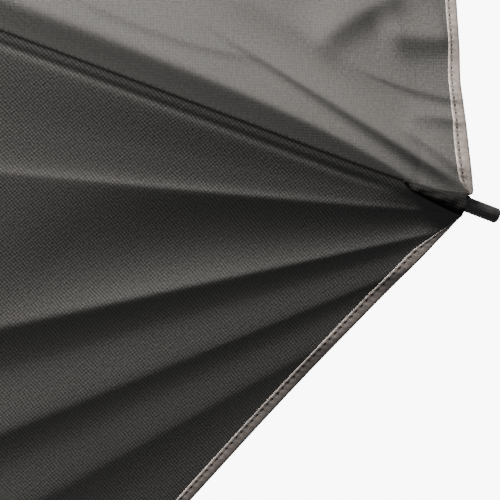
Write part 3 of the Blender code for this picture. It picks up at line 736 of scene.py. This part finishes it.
def make_tacks(k):
    """The bar of hand stitches that ties the corner of the cloth to its pocket."""
    stitches, steps, sides, thread = 5, 7, 6, 0.00022
    around = [2 * math.pi * j / sides for j in range(sides)]
    bm = bmesh.new()
    for n in range(stitches):
        spin = math.radians(16 + n * 8) + 0.12 * math.sin(n * 2.3)
        previous = None
        for i in range(steps + 1):
            share = i / steps - 0.5
            bow = math.cos(math.pi * share)
            reach = 0.0040 + 0.0004 * bow
            along = -0.0010 + 0.0008 * bow - 0.0044 * abs(share)
            middle = Vector((along, reach * math.cos(spin), reach * math.sin(spin)))
            ring = [bm.verts.new(middle + thread * Vector((0, math.cos(a), math.sin(a)))) for a in around]
            if previous:
                for j in range(sides):
                    bm.faces.new((previous[j], previous[(j + 1) % sides], ring[(j + 1) % sides], ring[j]))
            else:
                bm.faces.new(ring)
            previous = ring
        bm.faces.new(previous)
    bmesh.ops.recalc_face_normals(bm, faces=bm.faces)
    bm.transform(rod_matrix(CLOTH_END, k))
    mesh = bpy.data.meshes.new(f"tip_tack_{k + 1}")
    bm.to_mesh(mesh)
    bm.free()
    mesh.shade_smooth()
    made = shown(f"tip_tack_{k + 1}", mesh, finish("bonded_polyester_thread", sewing_thread))
    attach(made, f"rib_{k + 1}")
    return made


class UMBRELLA_OT_canopy(bpy.types.Operator):
    """Make the eight gores with their hems, tip pockets, flaps and tacks"""

    bl_idname = "umbrella.canopy"
    bl_label = "Canopy"

    def execute(self, context):
        for k in range(RIBS):
            gore = make_gore(k)
            trim = [make_hem(k), make_pocket(k), make_flap(k), make_tacks(k)]
        return {"FINISHED"}


NYLON = ("moulded_black_nylon", moulded_nylon)
STEEL = ("nickel_plated_drawn_steel", plated_steel)
FINISHES = {
    "shaft_tube": STEEL,
    "crown": NYLON,
    "crown_wire": STEEL,
    "crown_rivet": STEEL,
    "ferrule": NYLON,
    "canopy_washer": NYLON,
    "shaft_end_cap": NYLON,
    "runner_stop_pin": STEEL,
    "catch_pin": STEEL,
    "catch": STEEL,
    "runner": NYLON,
    "runner_wire": STEEL,
    "rib_rod": ("pultruded_glass_fibre", glass_fibre),
    "rib_eye": STEEL,
    "bracket": NYLON,
    "tip_cap": NYLON,
    "stretcher": ("black_stoved_enamel", baked_enamel),
}


class UMBRELLA_OT_hardware(bpy.types.Operator):
    """Give the rods, hubs, shaft and caps their finishes"""

    bl_idname = "umbrella.hardware"
    bl_label = "Hardware finishes"

    def execute(self, context):
        for name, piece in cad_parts.items():
            kind = name if name in FINISHES else name.rsplit("_", 1)[0]
            if kind not in FINISHES:
                continue
            for slot in piece.material_slots:
                slot.material = finish(*FINISHES[kind])
        return {"FINISHED"}


def area_light(name, at, towards, size, power, spread, tint="FFFFFF"):
    """A square soft box, whose beam is spread degrees wide."""
    data = bpy.data.lights.new(name, "AREA")
    data.shape = "RECTANGLE"
    data.size = data.size_y = size
    data.energy = power
    data.color = colour(tint)[:3]
    data.spread = math.radians(spread)
    made = bpy.data.objects.new(name, data)
    bpy.context.scene.collection.objects.link(made)
    made.location = at
    made.rotation_euler = (Vector(towards) - Vector(at)).to_track_quat("-Z", "Y").to_euler()
    made.visible_camera = False


def pale_surround():
    """A white cove: a backdrop lit to clean white, and a soft even light from all sides."""
    world = bpy.data.worlds.new("white_cove")
    bpy.context.scene.world = world
    world.use_nodes = True
    tree = world.node_tree
    room = wire(tree, tree.nodes["Background"], Color=(1, 1, 1, 1), Strength=0.28)
    backdrop = node(tree, "Background", Color=(1, 1, 1, 1), Strength=9.0)
    seen = node(tree, "LightPath").outputs["Is Camera Ray"]
    wire(tree, tree.nodes["World Output"], Surface=node(tree, "MixShader", Fac=seen, _1=room, _2=backdrop))


def make_floor():
    """A plain pale floor, as far below the umbrella as a light stand holds it."""
    mesh = bpy.data.meshes.new("floor")
    bm = bmesh.new()
    bmesh.ops.create_grid(bm, x_segments=8, y_segments=8, size=14, matrix=Matrix.Translation((0, 0, FLOOR_Z)))
    bm.to_mesh(mesh)
    bm.free()
    floor = shown("floor", mesh, finish("pale_painted_floor", painted_floor))
    # it sends no light of its own up into the cloth
    floor.visible_diffuse = floor.visible_glossy = False


TIP = rod_matrix(CLOTH_END, 0)
LOOK_TILT = math.radians(18)  # from the umbrella's axis towards the first rib's tip
RIB_FALL = math.radians(20.2)  # how far the first rib runs down from level in the view
VIEW_WIDTH = 0.195
VIEW_DISTANCE = 1.20
TIP_IN_VIEW = (0.0842, 0.0179)  # right of and above the middle of the view
KEY_WAY = (-0.42, 0.84, 0.36)  # to the key light, as right, up and towards the eye
KEY_DISTANCE = 1.6


def view_axes():
    """The view's right, up and towards-the-eye directions."""
    out = Vector((math.cos(FIRST_RIB), 0, -math.sin(FIRST_RIB)))
    eye = (math.cos(LOOK_TILT) * Vector((0, 1, 0)) + math.sin(LOOK_TILT) * out).normalized()
    rib = TIP.to_3x3() @ Vector((1, 0, 0))
    rib = (rib - rib.dot(eye) * eye).normalized()
    right = rib * math.cos(RIB_FALL) + eye.cross(rib) * math.sin(RIB_FALL)
    return right, eye.cross(right), eye


class UMBRELLA_OT_stage(bpy.types.Operator):
    """Make the floor, the lights and the camera"""

    bl_idname = "umbrella.stage"
    bl_label = "Stage"

    def execute(self, context):
        pale_surround()
        make_floor()
        right, up, eye = view_axes()
        centre = TIP.translation - right * TIP_IN_VIEW[0] - up * TIP_IN_VIEW[1]
        data = bpy.data.cameras.new("camera")
        data.sensor_width = 36
        data.lens = data.sensor_width * VIEW_DISTANCE / VIEW_WIDTH
        data.clip_start = 0.05
        data.clip_end = 60
        camera = bpy.data.objects.new("camera", data)
        bpy.context.scene.collection.objects.link(camera)
        turn = Matrix((right, up, eye)).transposed().to_4x4()
        camera.matrix_world = Matrix.Translation(centre + eye * VIEW_DISTANCE) @ turn
        bpy.context.scene.camera = camera
        key = centre + KEY_DISTANCE * Vector(KEY_WAY).normalized() @ Matrix((right, up, eye))
        area_light("key", at=key, towards=centre, size=0.72, power=27, spread=28, tint="FFF9F3")
        area_light("front", at=(1.2, -1.6, 1.3), towards=(0, 0.4, 0), size=1.2, power=42, spread=70)
        return {"FINISHED"}


class UMBRELLA_PT_panel(bpy.types.Panel):
    """The umbrella's looks and the operators that make it"""

    bl_idname = "UMBRELLA_PT_panel"
    bl_label = "Umbrella reflector"
    bl_space_type = "VIEW_3D"
    bl_region_type = "UI"
    bl_category = "Umbrella"

    def draw(self, context):
        for name in UmbrellaLooks.__annotations__:
            self.layout.prop(context.scene.umbrella_looks, name)
        for operator in OPERATORS:
            self.layout.operator(operator.bl_idname)


OPERATORS = (UMBRELLA_OT_canopy, UMBRELLA_OT_hardware, UMBRELLA_OT_stage)
CLASSES = (UmbrellaLooks, *OPERATORS, UMBRELLA_PT_panel)


def register():
    for cls in CLASSES:
        bpy.utils.register_class(cls)
    bpy.types.Scene.umbrella_looks = bpy.props.PointerProperty(type=UmbrellaLooks)


def unregister():
    del bpy.types.Scene.umbrella_looks
    for cls in reversed(CLASSES):
        bpy.utils.unregister_class(cls)


def main():
    register()
    bpy.ops.umbrella.canopy()
    bpy.ops.umbrella.hardware()
    bpy.ops.umbrella.stage()


if __name__ == "__main__":
    main()
